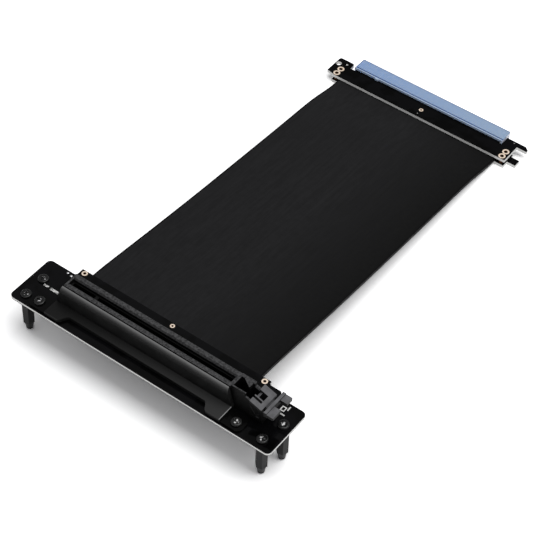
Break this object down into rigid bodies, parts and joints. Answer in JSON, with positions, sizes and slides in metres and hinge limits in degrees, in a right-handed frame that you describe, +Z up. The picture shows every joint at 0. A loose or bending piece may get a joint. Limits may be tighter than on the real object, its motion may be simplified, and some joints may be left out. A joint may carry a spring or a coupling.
{
  "type": "pcie extension cable",
  "caption": "Flat ribbon cable that extends an expansion card slot: a latched and braced slot on a board with standoffs, and a card-edge plug board under a clear blue cover.",
  "frame": {"origin": "on the floor, under the middle of the whole object", "axes": "+Z up, +Y along the cable from the socket board to the plug, +X to the right, towards the latch"},
  "size_m": [0.1392, 0.2378, 0.0329],
  "materials": {
    "black_board": "glossy black solder mask on glass-fibre board",
    "slot_moulding": "matte black moulded plastic",
    "latch_moulding": "matte dark grey moulded plastic",
    "gold_contact": "gold-plated",
    "gold_ring": "pale gold plating",
    "black_brace": "semi-gloss black",
    "black_standoff": "black plated, satin",
    "black_screw": "black plated, glossy",
    "ribbon_jacket": "matte charcoal",
    "flat_cable": "matte black",
    "blue_cover": "translucent blue moulded plastic"
  },
  "bodies": {
    "cable": {"socket_board": "black_board", "socket_under_board": "black_board", "plug_board": "black_board", "plug_under_board": "black_board", "slot_housing": "slot_moulding", "slot_contacts_front": "gold_contact", "slot_contacts_rear": "gold_contact", "edge_contacts_top": "gold_contact", "edge_contacts_bottom": "gold_contact", "socket_eyelets": "gold_ring", "socket_plated_ring": "gold_ring", "plug_rivets": "gold_ring", "plug_plated_ring": "gold_ring", "slot_brace": "black_brace", "standoff_front_left": "black_standoff", "standoff_front_right": "black_standoff", "standoff_rear_left": "black_standoff", "standoff_rear_right": "black_standoff", "standoff_screw_front_left": "black_screw", "standoff_screw_front_right": "black_screw", "standoff_screw_rear_left": "black_screw", "standoff_screw_rear_right": "black_screw", "brace_screw_left": "black_screw", "brace_screw_right": "black_screw", "brace_nut_left": "black_screw", "brace_nut_right": "black_screw", "ribbon_sleeve": "ribbon_jacket", "flat_cable_1": "flat_cable", "flat_cable_2": "flat_cable", "flat_cable_3": "flat_cable", "flat_cable_4": "flat_cable"},
    "latch": {"slot_latch": "latch_moulding"},
    "cover": {"edge_cover": "blue_cover"}
  },
  "joints": [
    {"name": "latch_hinge", "type": "hinge", "parent": "cable", "child": "latch", "pos_m": [0.05555, -0.1034, 0.0246], "axis": [0, 1, 0], "range_deg": [0, 20]},
    {"name": "cover_pull", "type": "slide", "parent": "cable", "child": "cover", "axis": [0, 1, 0], "range_m": [0, 0.012]}
  ]
}
